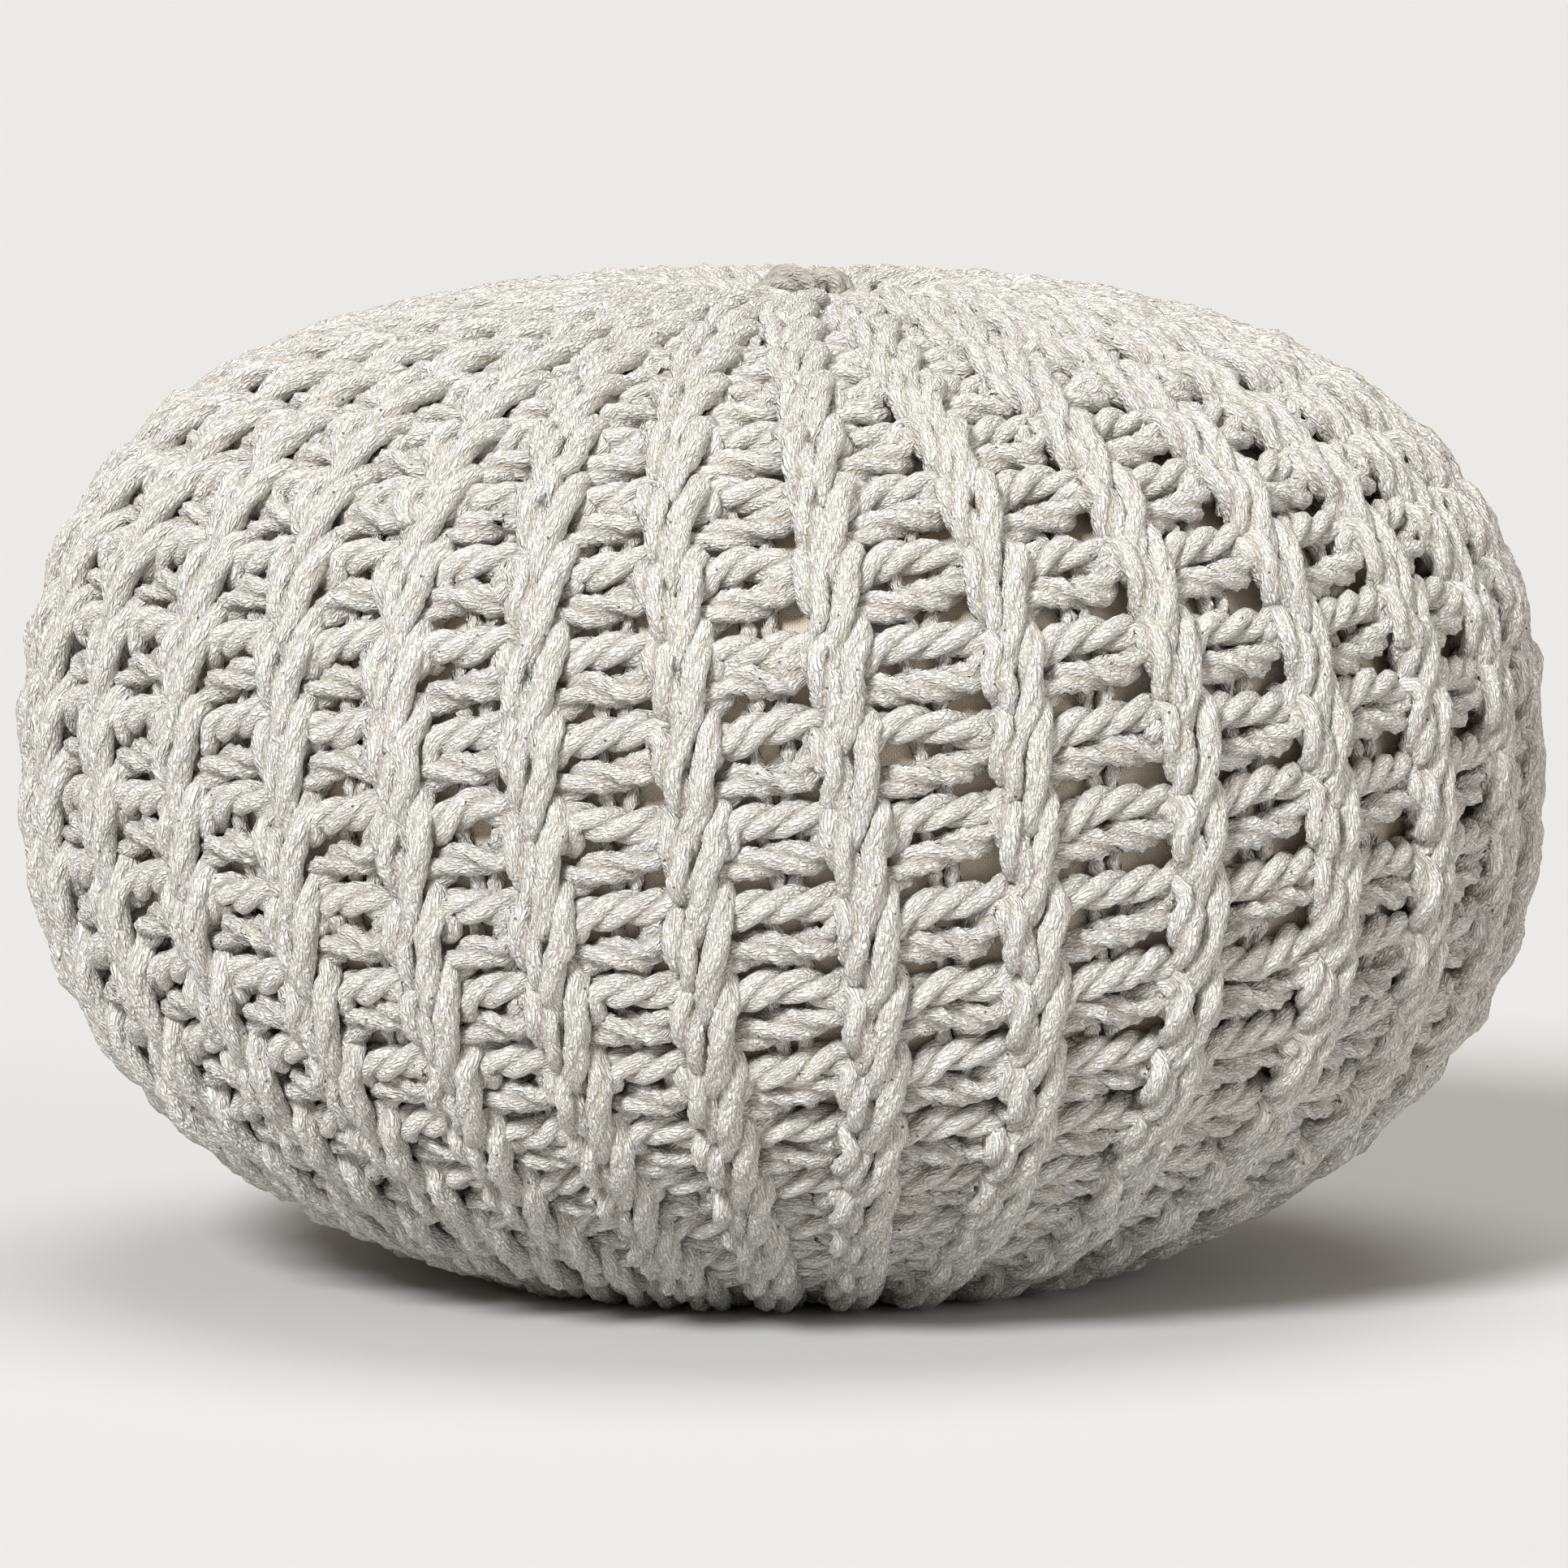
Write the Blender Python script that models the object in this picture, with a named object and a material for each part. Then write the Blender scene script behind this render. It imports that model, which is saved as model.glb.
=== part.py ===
# A round knitted pouf: a rib-knitted cover of cotton cord, open between its ribs, over a stuffed
# cushion, drawn together at the crown by a knotted cord. It stands on a flattened patch underneath.
# Metres, +Z up. The origin is on the floor under the middle of the pouf, and -Y is its front.

import math

import bmesh
import bpy
import numpy as np

# The pouf as a whole
WIDTH = 0.500
HEIGHT = 0.325
WAIST_HEIGHT = 0.164
FOOT_RADIUS = 0.050
CROWN_HOLE_RADIUS = 0.0145
CREST_OVER_CROWN = 0.0056

# How round each half of its side is: 2 is an ellipse, more is boxier
CROWN_SIDE_POWER = 2.80
CROWN_TOP_POWER = 2.56
UNDER_SIDE_POWER = 1.66
UNDER_FLOOR_POWER = 2.36

# Its unevenness: the crown and the foot sit off the middle, and the waist isn't quite round
CROWN_SHIFT = 0.0078
CROWN_SHIFT_SHARE = 0.30
FOOT_SHIFT = 0.0050
FOOT_SHIFT_SHARE = 0.30
OVAL = 0.0022
OVAL_TURN = math.radians(40.0)
THREE_SIDED = 0.0018
THREE_SIDED_TURN = math.radians(-69.0)

# Brings the middle of the finished pouf over the origin
MIDDLE_X = -0.0017
MIDDLE_Y = 0.0004

# The ribs of the knitting
RIB_COUNT = 30
RIB_RISE = 0.0075
RIB_FOOT_WIDTH = 0.0215
RIB_CREST_WIDTH = 0.0110
RIB_WIDEST_SHARE = 0.74
RIB_FADE_LENGTH = 0.060
RIB_RISE_AT_HOLE = 0.45
FRONT_RIB_ANGLE = math.radians(5.3)
RIB_SPREAD = math.radians(2.2)
RIB_SPREAD_WAVES = 3
RIB_TWIST_PER_METRE = math.radians(20.0)
RIB_WANDER = 0.0012
RIB_WANDER_LENGTH = 0.190
RIB_WANDER_STEP = math.radians(120.0)

# The open belt of the knitting, one gap in each bay for each row of V stitches
STITCH_PITCH = 0.0272
GAP_ROWS = 9
GAP_HEIGHT = 0.0116
BELT_MIDDLE = 0.3195
PLAIN_ROWS_BELOW = 5
PLAIN_ROWS_ABOVE = 6

# Thicknesses and clearances
COVER_THICKNESS = 0.0100
SEAT_GAP = 0.0004

# The knotted cord in the crown
CORD_DIAMETER = 0.0098
CORD_ARCH_WIDTH = 0.0154
CORD_SIDES_RESOLUTION = 2
CORD_ARCH_STEPS = 14
CORD_TURN = math.radians(20.0)

COTTON = (0.73, 0.70, 0.63, 1.0)
CALICO = (0.42, 0.38, 0.31, 1.0)
KNOT_COTTON = (0.60, 0.57, 0.50, 1.0)
CORD_ROUGHNESS = 0.92
CALICO_ROUGHNESS = 0.95

MERIDIAN_SAMPLES = 500
NORMAL_STEP = 0.004
SHARP_ANGLE = math.radians(50.0)


def meridian_curve():
    """Radius and height of the cloth between the ribs, from the edge of the foot to the crown hole."""
    cloth_radius = WIDTH / 2 - RIB_RISE
    cloth_height = HEIGHT - CREST_OVER_CROWN
    turn = np.linspace(0.0, math.pi / 2, MERIDIAN_SAMPLES)
    under_r = FOOT_RADIUS + (cloth_radius - FOOT_RADIUS) * np.cos(turn) ** (2 / UNDER_SIDE_POWER)
    under_z = WAIST_HEIGHT * (1 - np.sin(turn) ** (2 / UNDER_FLOOR_POWER))
    crown_r = cloth_radius * np.cos(turn) ** (2 / CROWN_SIDE_POWER)
    crown_z = WAIST_HEIGHT + (cloth_height - WAIST_HEIGHT) * np.sin(turn) ** (2 / CROWN_TOP_POWER)
    kept = crown_r > CROWN_HOLE_RADIUS
    radius = np.concatenate([under_r[::-1], crown_r[kept][1:], [CROWN_HOLE_RADIUS]])
    height = np.concatenate([under_z[::-1], crown_z[kept][1:], [crown_z[kept][-1]]])
    return radius, height


RADII, HEIGHTS = meridian_curve()
ALONG = np.concatenate([[0.0], np.cumsum(np.hypot(np.diff(RADII), np.diff(HEIGHTS)))])
MERIDIAN_LENGTH = float(ALONG[-1])


def meridian_point(along):
    """Radius and height of the cloth at a distance along its meridian from the foot's edge."""
    return float(np.interp(along, ALONG, RADII)), float(np.interp(along, ALONG, HEIGHTS))


def meridian_normal(along):
    """Outward direction there, as its radial and its upward share."""
    low = meridian_point(max(along - NORMAL_STEP, 0.0))
    high = meridian_point(min(along + NORMAL_STEP, MERIDIAN_LENGTH))
    run = high[0] - low[0]
    rise = high[1] - low[1]
    length = math.hypot(run, rise)
    return rise / length, -run / length


def smooth_step(value):
    value = min(max(value, 0.0), 1.0)
    return value * value * (3 - 2 * value)


def pouf_point(azimuth, along, out):
    """A point of the pouf, out metres off its cloth. Azimuth 0 is its front, and +X is at 90 degrees."""
    radius, height = meridian_point(along)
    normal_r, normal_z = meridian_normal(along)
    height = max(height + out * normal_z, 0.0)
    bulge = OVAL * math.cos(2 * azimuth - OVAL_TURN)
    bulge += THREE_SIDED * math.cos(3 * azimuth - THREE_SIDED_TURN)
    share = along / MERIDIAN_LENGTH
    radius += out * normal_r + bulge * math.sin(math.pi * share)
    shift = CROWN_SHIFT * smooth_step(1 - (1 - share) / CROWN_SHIFT_SHARE)
    shift += FOOT_SHIFT * smooth_step(1 - share / FOOT_SHIFT_SHARE)
    x = radius * math.sin(azimuth) + shift + MIDDLE_X
    y = -radius * math.cos(azimuth) + MIDDLE_Y
    return x, y, height


def rib_azimuth(rib, along):
    """Where a rib runs: nearly even round the pouf, turning a little on its way up, never quite straight."""
    even = FRONT_RIB_ANGLE + rib * math.tau / RIB_COUNT
    spread = RIB_SPREAD * (1 - math.cos(RIB_SPREAD_WAVES * even))
    twist = RIB_TWIST_PER_METRE * (BELT_MIDDLE - along)
    radius = max(meridian_point(along)[0], FOOT_RADIUS)
    wander = RIB_WANDER / radius * math.sin(math.tau * along / RIB_WANDER_LENGTH + RIB_WANDER_STEP * rib)
    return even + spread + twist + wander


def rib_rise(along):
    """Height of a rib's crest over the cloth: none at the foot, low where the crown draws together."""
    at_foot = smooth_step(along / RIB_FADE_LENGTH)
    at_hole = smooth_step((MERIDIAN_LENGTH - along) / RIB_FADE_LENGTH)
    return RIB_RISE * at_foot * (RIB_RISE_AT_HOLE + (1 - RIB_RISE_AT_HOLE) * at_hole)


def cover_rows():
    """Distances along the meridian of the cover's rings of points, and which strips hold a gap."""
    first_gap = BELT_MIDDLE - (GAP_ROWS - 1) / 2 * STITCH_PITCH - GAP_HEIGHT / 2
    last_gap = BELT_MIDDLE + (GAP_ROWS - 1) / 2 * STITCH_PITCH + GAP_HEIGHT / 2
    rows = [first_gap * row / PLAIN_ROWS_BELOW for row in range(PLAIN_ROWS_BELOW)]
    gap_strips = set()
    for row in range(GAP_ROWS):
        gap_strips.add(len(rows))
        rows += [first_gap + row * STITCH_PITCH, first_gap + row * STITCH_PITCH + GAP_HEIGHT]
    above = MERIDIAN_LENGTH - last_gap
    rows += [last_gap + above * (row + 1) / PLAIN_ROWS_ABOVE for row in range(PLAIN_ROWS_ABOVE)]
    return rows, gap_strips


def cushion_rows(rows, gap_strips):
    """The same rings without the upper edge of each gap, which the plain cushion can spare."""
    spare = {strip + 1 for strip in gap_strips if strip != max(gap_strips)}
    return [along for row, along in enumerate(rows) if row not in spare]


def rib_angles(rib, along):
    """Azimuths of a rib's left foot, left crest, right crest and right foot."""
    radius = meridian_point(along)[0]
    middle = rib_azimuth(rib, along)
    room = RIB_WIDEST_SHARE * math.pi / RIB_COUNT
    foot = min(RIB_FOOT_WIDTH / 2 / radius, room)
    crest = foot * RIB_CREST_WIDTH / RIB_FOOT_WIDTH
    return middle - foot, middle - crest, middle + crest, middle + foot


def cotton_material(name, colour, roughness):
    material = bpy.data.materials.new(name)
    material.use_nodes = True
    shader = material.node_tree.nodes["Principled BSDF"]
    shader.inputs["Base Color"].default_value = colour
    shader.inputs["Roughness"].default_value = roughness
    shader.inputs["Metallic"].default_value = 0.0
    return material


def object_from(shape, name, material, collection):
    """Turns a finished bmesh into a named object with its material."""
    mesh = bpy.data.meshes.new(name)
    bmesh.ops.recalc_face_normals(shape, faces=shape.faces)
    shape.to_mesh(mesh)
    shape.free()
    mesh.materials.append(material)
    piece = bpy.data.objects.new(name, mesh)
    collection.objects.link(piece)
    mesh.shade_smooth()
    mesh.set_sharp_from_angle(angle=SHARP_ANGLE)
    return piece


def knitted_cover(collection):
    """The ribbed cover: a loft from the foot to the crown hole, ribbed outside and plain inside.

    Each rib is four points wide outside and two inside, and the bay to the next rib is one face wide.
    A gap leaves out the bay's outer and inner face, and four faces line it through the cover.
    """
    shape = bmesh.new()
    rows, gap_strips = cover_rows()
    outer = []
    inner = []
    for along in rows:
        rise = rib_rise(along)
        outer_ring = []
        inner_ring = []
        for rib in range(RIB_COUNT):
            left, crest_left, crest_right, right = rib_angles(rib, along)
            section = ((left, 0.0), (crest_left, rise), (crest_right, rise), (right, 0.0))
            outer_ring += [shape.verts.new(pouf_point(angle, along, out)) for angle, out in section]
            for angle in (left, right):
                inner_ring.append(shape.verts.new(pouf_point(angle, along, -COVER_THICKNESS)))
        outer.append(outer_ring)
        inner.append(inner_ring)

    outer_count = len(outer[0])
    inner_count = len(inner[0])
    for strip in range(len(rows) - 1):
        low, high = outer[strip], outer[strip + 1]
        low_in, high_in = inner[strip], inner[strip + 1]
        for rib in range(RIB_COUNT):
            first = 4 * rib
            for side in range(3):
                a, b = first + side, first + side + 1
                shape.faces.new((low[a], low[b], high[b], high[a]))
            a, b = 2 * rib, 2 * rib + 1
            shape.faces.new((low_in[b], low_in[a], high_in[a], high_in[b]))
            bay = (first + 3, (first + 4) % outer_count)
            bay_in = (2 * rib + 1, (2 * rib + 2) % inner_count)
            corners = (low[bay[0]], low[bay[1]], high[bay[1]], high[bay[0]])
            corners_in = (low_in[bay_in[0]], low_in[bay_in[1]], high_in[bay_in[1]], high_in[bay_in[0]])
            if strip not in gap_strips:
                shape.faces.new(corners)
                shape.faces.new(corners_in[::-1])
                continue
            for corner in range(4):
                after = (corner + 1) % 4
                shape.faces.new((corners[after], corners[corner], corners_in[corner], corners_in[after]))

    shape.faces.new(outer[0][::-1])
    shape.faces.new(inner[0])
    top, top_in = outer[-1], inner[-1]
    for rib in range(RIB_COUNT):
        first, first_in = 4 * rib, 2 * rib
        shape.faces.new((*top[first:first + 4], top_in[first_in + 1], top_in[first_in]))
        after, after_in = (first + 4) % outer_count, (first_in + 2) % inner_count
        shape.faces.new((top[first + 3], top[after], top_in[after_in], top_in[first_in + 1]))
    material = cotton_material("cotton_cord", COTTON, CORD_ROUGHNESS)
    return object_from(shape, "knitted_cover", material, collection)


def inner_cushion(collection):
    """The stuffed casing: the cover's own inner shape, closed, a seat's gap further in."""
    shape = bmesh.new()
    rows, gap_strips = cover_rows()
    rings = []
    for along in cushion_rows(rows, gap_strips):
        ring = []
        for rib in range(RIB_COUNT):
            left, _, _, right = rib_angles(rib, along)
            for angle in (left, right):
                ring.append(shape.verts.new(pouf_point(angle, along, -COVER_THICKNESS - SEAT_GAP)))
        rings.append(ring)
    count = len(rings[0])
    for low, high in zip(rings, rings[1:]):
        for point in range(count):
            after = (point + 1) % count
            shape.faces.new((low[point], low[after], high[after], high[point]))
    shape.faces.new(rings[0][::-1])
    shape.faces.new(rings[-1])
    material = cotton_material("calico", CALICO, CALICO_ROUGHNESS)
    return object_from(shape, "inner_cushion", material, collection)


def closing_cord(collection):
    """The drawn-up end of cord: an arch that stands in the crown hole with both feet on the cushion."""
    hole_x = CROWN_SHIFT + MIDDLE_X
    cushion_top = pouf_point(0.0, MERIDIAN_LENGTH, -COVER_THICKNESS - SEAT_GAP)[2]
    start = cushion_top + SEAT_GAP
    radius = CORD_ARCH_WIDTH / 2
    shoulder = HEIGHT - CORD_DIAMETER / 2 - radius
    points = [(radius, start)]
    for step in range(CORD_ARCH_STEPS + 1):
        angle = math.pi * step / CORD_ARCH_STEPS
        points.append((radius * math.cos(angle), shoulder + radius * math.sin(angle)))
    points.append((-radius, start))

    curve = bpy.data.curves.new("closing_cord_line", "CURVE")
    curve.dimensions = "3D"
    curve.bevel_depth = CORD_DIAMETER / 2
    curve.bevel_resolution = CORD_SIDES_RESOLUTION
    curve.use_fill_caps = True
    line = curve.splines.new("POLY")
    line.points.add(len(points) - 1)
    for point, (across, height) in zip(line.points, points):
        x = hole_x + across * math.cos(CORD_TURN)
        y = MIDDLE_Y + across * math.sin(CORD_TURN)
        point.co = (x, y, height, 1.0)
    piece = bpy.data.objects.new("closing_cord", curve)
    curve.materials.append(cotton_material("knot_cotton", KNOT_COTTON, CORD_ROUGHNESS))
    collection.objects.link(piece)
    return piece


def main():
    for old in list(bpy.data.objects):
        bpy.data.objects.remove(old, do_unlink=True)
    collection = bpy.data.collections.new("knitted_pouf")
    bpy.context.scene.collection.children.link(collection)
    knitted_cover(collection)
    inner_cushion(collection)
    closing_cord(collection)


main()
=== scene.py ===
# A round floor pouf, knitted in the round from thick undyed cotton cord over a stuffed calico
# cushion. The knitting is an open rib: chains of V stitches run from the crown to the underside,
# and two bars of cord cross each bay for every V.
# Sizes are in metres, unless a line says otherwise.
import math

import bpy
import numpy as np
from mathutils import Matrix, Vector


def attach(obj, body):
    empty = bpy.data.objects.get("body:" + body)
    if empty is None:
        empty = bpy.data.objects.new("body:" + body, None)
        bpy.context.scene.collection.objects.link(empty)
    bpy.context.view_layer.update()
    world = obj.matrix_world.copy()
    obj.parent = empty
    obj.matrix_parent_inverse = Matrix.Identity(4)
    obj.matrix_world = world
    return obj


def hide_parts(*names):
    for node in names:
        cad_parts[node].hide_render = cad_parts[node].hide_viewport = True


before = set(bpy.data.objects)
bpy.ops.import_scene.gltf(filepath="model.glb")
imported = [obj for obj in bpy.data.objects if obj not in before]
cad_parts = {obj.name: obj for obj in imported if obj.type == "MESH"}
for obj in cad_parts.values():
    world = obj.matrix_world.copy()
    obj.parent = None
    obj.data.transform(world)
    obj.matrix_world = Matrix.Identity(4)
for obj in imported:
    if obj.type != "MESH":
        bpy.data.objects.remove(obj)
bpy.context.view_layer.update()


# The stuffed cushion
# A casing of plain-woven unbleached calico, filled hard. It gives the pouf its shape, and shows
# as a shaded ground in the gaps of the knitting. Its cloth swells a little into each bay.
WIDTH = 0.500
HEIGHT = 0.325
WAIST_HEIGHT = 0.164
FOOT_RADIUS = 0.050
CROWN_HOLE_RADIUS = 0.0145
RIB_RISE = 0.0075
CREST_OVER_CROWN = 0.0056
CROWN_SIDE_POWER = 2.80
CROWN_TOP_POWER = 2.56
UNDER_SIDE_POWER = 1.66
UNDER_FLOOR_POWER = 2.36
MERIDIAN_POINTS = 500
CROWN_SHIFT = 0.0078
FOOT_SHIFT = 0.0050
SHIFT_SHARE = 0.30
OVAL = 0.0022
OVAL_TURN = math.radians(40.0)
THREE_SIDED = 0.0018
THREE_SIDED_TURN = math.radians(-69.0)
MIDDLE = (-0.0017, 0.0004)
RIB_COUNT = 30
CASING_DEPTH = 0.0104
CASING_SWELL = 0.0006
SWELL_RADIUS = 0.2
CASING_ROUND = 150
CASING_ROWS = 64
CALICO_LIGHT = (0.88, 0.79, 0.67)
CALICO_DARK = (0.74, 0.64, 0.51)
CALICO_THREADS = 1150.0
CALICO_ROUGHNESS = 0.95
CALICO_RELIEF = 0.0004
THREAD_CROWN = 0.35
SLUBS_PER_METRE = 160.0
SLUB_PULL = 2.5
PATCHES_PER_METRE = 30.0


def meridian():
    """Distances along the pouf's meridian from the foot's edge, with the radius and height there."""
    turn = np.linspace(0.0, math.pi / 2, MERIDIAN_POINTS)
    waist = WIDTH / 2 - RIB_RISE
    top = HEIGHT - CREST_OVER_CROWN
    under_r = FOOT_RADIUS + (waist - FOOT_RADIUS) * np.cos(turn) ** (2 / UNDER_SIDE_POWER)
    under_z = WAIST_HEIGHT * (1 - np.sin(turn) ** (2 / UNDER_FLOOR_POWER))
    crown_r = waist * np.cos(turn) ** (2 / CROWN_SIDE_POWER)
    crown_z = WAIST_HEIGHT + (top - WAIST_HEIGHT) * np.sin(turn) ** (2 / CROWN_TOP_POWER)
    radius = np.concatenate([[0.0], under_r[::-1], crown_r[1:]])
    height = np.concatenate([[0.0], under_z[::-1], crown_z[1:]])
    along = np.concatenate([[0.0], np.cumsum(np.hypot(np.diff(radius), np.diff(height)))])
    return along - FOOT_RADIUS, radius, height


SKIN = meridian()
MERIDIAN_LENGTH = float(SKIN[0][SKIN[1] > CROWN_HOLE_RADIUS][-1])


def smooth_step(value):
    value = np.clip(value, 0.0, 1.0)
    return value * value * (3 - 2 * value)


def radius_at(along, line=SKIN):
    return np.interp(along, line[0], line[1])


def pouf_points(azimuth, along, above_casing, line=SKIN, lowest=0.0):
    """Points over the casing, where azimuth 0 is the front and along runs up from the foot's edge."""
    out = above_casing - CASING_DEPTH
    normal_r = np.interp(along, line[0], np.gradient(line[2], line[0]))
    normal_z = -np.interp(along, line[0], np.gradient(line[1], line[0]))
    length = np.hypot(normal_r, normal_z)
    share = np.clip(along / MERIDIAN_LENGTH, 0.0, 1.0)
    bulge = OVAL * np.cos(2 * azimuth - OVAL_TURN)
    bulge = bulge + THREE_SIDED * np.cos(3 * azimuth - THREE_SIDED_TURN)
    radius = radius_at(along, line) + out * normal_r / length + bulge * np.sin(math.pi * share)
    height = np.interp(along, line[0], line[2]) + out * normal_z / length
    shift = CROWN_SHIFT * smooth_step(1 - (1 - share) / SHIFT_SHARE)
    shift = shift + FOOT_SHIFT * smooth_step(1 - share / SHIFT_SHARE)
    x = radius * np.sin(azimuth) + shift + MIDDLE[0]
    y = -radius * np.cos(azimuth) + MIDDLE[1]
    return np.stack([x, y, np.maximum(height, lowest)], axis=-1)


def node_at(tree, kind, **settings):
    node = tree.nodes.new(kind)
    for name, value in settings.items():
        setattr(node, name, value)
    return node


def math_node(tree, operation, first, second=None, third=None):
    """A Math node whose inputs are sockets or numbers, given back as its output socket."""
    node = node_at(tree, "ShaderNodeMath", operation=operation)
    for place, value in enumerate((first, second, third)):
        if isinstance(value, bpy.types.NodeSocket):
            tree.links.new(value, node.inputs[place])
        elif value is not None:
            node.inputs[place].default_value = value
    return node.outputs[0]


def noise_node(tree, vector, scale, detail=0.0):
    node = node_at(tree, "ShaderNodeTexNoise")
    node.inputs["Scale"].default_value = scale
    node.inputs["Detail"].default_value = detail
    tree.links.new(vector, node.inputs["Vector"])
    return node.outputs[0]


def mix_colours(tree, share, first, second):
    """A Mix node for colours, whose share and colours are sockets or values."""
    node = node_at(tree, "ShaderNodeMix", data_type="RGBA")
    for place, value in ((0, share), (6, first), (7, second)):
        if isinstance(value, bpy.types.NodeSocket):
            tree.links.new(value, node.inputs[place])
        else:
            node.inputs[place].default_value = (*value, 1.0) if place else value
    return node.outputs[2]


def calico_material():
    """Plain weave in the casing's own cloth coordinates, with slubs and a faint drift of colour."""
    material = bpy.data.materials.new("calico_weave")
    material.use_nodes = True
    tree = material.node_tree
    shader = tree.nodes["Principled BSDF"]
    place = node_at(tree, "ShaderNodeUVMap", uv_map="cloth")
    split = node_at(tree, "ShaderNodeSeparateXYZ")
    tree.links.new(place.outputs[0], split.inputs[0])
    slubs = noise_node(tree, place.outputs[0], SLUBS_PER_METRE, detail=2.0)
    wobble = math_node(tree, "MULTIPLY", slubs, SLUB_PULL)
    across = math_node(tree, "MULTIPLY_ADD", split.outputs[0], CALICO_THREADS * math.pi, wobble)
    up = math_node(tree, "MULTIPLY_ADD", split.outputs[1], CALICO_THREADS * math.pi, wobble)
    weft = math_node(tree, "ABSOLUTE", math_node(tree, "SINE", across))
    warp = math_node(tree, "ABSOLUTE", math_node(tree, "SINE", up))
    over = math_node(tree, "MULTIPLY", math_node(tree, "COSINE", across),
                     math_node(tree, "COSINE", up))
    threads = math_node(tree, "MULTIPLY", weft, warp)
    weave = math_node(tree, "MULTIPLY_ADD", over, THREAD_CROWN, threads)
    bump = node_at(tree, "ShaderNodeBump")
    bump.inputs["Strength"].default_value = 0.6
    bump.inputs["Distance"].default_value = CALICO_RELIEF
    tree.links.new(weave, bump.inputs["Height"])
    tree.links.new(bump.outputs[0], shader.inputs["Normal"])
    patches = noise_node(tree, place.outputs[0], PATCHES_PER_METRE, detail=2.0)
    # Painted shade: darker between the threads, lighter on their crowns; patches add the cloth's own
    # tone.
    share = math_node(tree, "MULTIPLY_ADD", weave, 0.5, math_node(tree, "MULTIPLY", patches, 0.5))
    colour = mix_colours(tree, share, CALICO_DARK, CALICO_LIGHT)
    tree.links.new(colour, shader.inputs["Base Color"])
    shader.inputs["Roughness"].default_value = CALICO_ROUGHNESS
    return material


def finished_piece(name, mesh, material=None):
    """An object at the origin that rides on the pouf's one body. Laid cord brings its material."""
    piece = bpy.data.objects.new(name, mesh)
    bpy.context.scene.collection.objects.link(piece)
    if material:
        mesh.materials.append(material)
    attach(piece, "root")
    return piece


def casing_mesh():
    """A closed skin in rings, from the middle of the foot to the middle of the crown."""
    along = np.linspace(SKIN[0][0], SKIN[0][-1], CASING_ROWS + 1)[1:-1]
    azimuth = np.arange(CASING_ROUND) * math.tau / CASING_ROUND
    grid_along, grid_azimuth = np.meshgrid(along, azimuth, indexing="ij")
    fullness = smooth_step(radius_at(grid_along) / SWELL_RADIUS)
    swell = CASING_SWELL * np.cos(RIB_COUNT * grid_azimuth) * fullness
    points = pouf_points(grid_azimuth, grid_along, swell).reshape(-1, 3)
    ends = pouf_points(np.zeros(2), SKIN[0][[0, -1]], np.zeros(2))
    count = CASING_ROUND
    faces = []
    for ring in range(len(along) - 1):
        for side in range(count):
            after = (side + 1) % count
            low, high = ring * count, (ring + 1) * count
            faces.append((low + side, low + after, high + after, high + side))
    bottom, top = len(points), len(points) + 1
    last = (len(along) - 1) * count
    for side in range(count):
        after = (side + 1) % count
        faces.append((bottom, after, side))
        faces.append((last + side, last + after, top))
    mesh = bpy.data.meshes.new("casing")
    mesh.from_pydata(np.concatenate([points, ends]).tolist(), [], faces)
    cloth = mesh.uv_layers.new(name="cloth")
    for face in mesh.polygons:
        columns = [mesh.loops[loop].vertex_index % count for loop in face.loop_indices]
        wraps = max(columns) - min(columns) > 1 and len(columns) == 4
        for loop, column in zip(face.loop_indices, columns):
            vertex = mesh.loops[loop].vertex_index
            row = min(vertex // count, len(along) - 1)
            turn = count if wraps and column == 0 else column
            cloth.data[loop].uv = (turn / count * math.tau * WIDTH / 2, along[row])
    mesh.shade_smooth()
    return mesh


casing = finished_piece("stuffed_casing", casing_mesh(), calico_material())
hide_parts("inner_cushion")


# The cotton cord
# Three plies of soft cotton yarn laid up into a cord of about 8 mm. The plies stand out as lobes,
# each made of fine strands, with fluff, seed flecks and the odd dyed one.
PLIES = 3
VALLEY_SHARPNESS = 1.8
LUMPS_PER_METRE = 190.0
LUMP_HEIGHT = 0.0011
COTTON_WHITE = (0.87, 0.865, 0.84)
COTTON_CREAM = (0.82, 0.805, 0.76)
# Painted shade colours: for creases and fibre hollows, ply lines, and the knot in the crown's hole.
COTTON_SHADE = (0.40, 0.35, 0.27)
COTTON_DEEP_SHADE = (0.27, 0.205, 0.13)
COTTON_HOLE_SHADE = (0.36, 0.325, 0.27)
COTTON_ROUGHNESS = 0.84
ROUGHNESS_DRIFT = 0.12
COTTON_SHEEN = 0.15
SHEEN_ROUGHNESS = 0.6
# A fleck's reach is a share of the flecks' spacing.
SEED_FLECK = (0.06, 0.045, 0.03)
DYED_FLECK = (0.01, 0.16, 0.15)
FLECK_SPACING = 0.0064
FLECK_REACH = 0.080
FLECK_SHARE = 0.85
DYED_SHARE = 0.05
FLECK_STRENGTH = 0.85
# The yarns of a ply, each seen for a short length, and the fibres in them, with their strays.
YARN_WIDTH = 0.00115
YARN_SHOWING = 0.0040
FIBRES_PER_YARN = 3.2
FLUFF_PER_METRE = 1500.0
STRAYS_PER_METRE = 260.0
STRAY_REACH = 0.0011
RUFFLES_PER_METRE = 300.0
RUFFLE_PULL = 0.9
DRIFT_PER_METRE = 24.0
# The cotton's relief is the height of its bump, and the others are shares of it.
COTTON_RELIEF = 0.0009
YARN_RELIEF = 0.75
FIBRE_RELIEF = 0.35
FLUFF_RELIEF = 0.20
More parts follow.
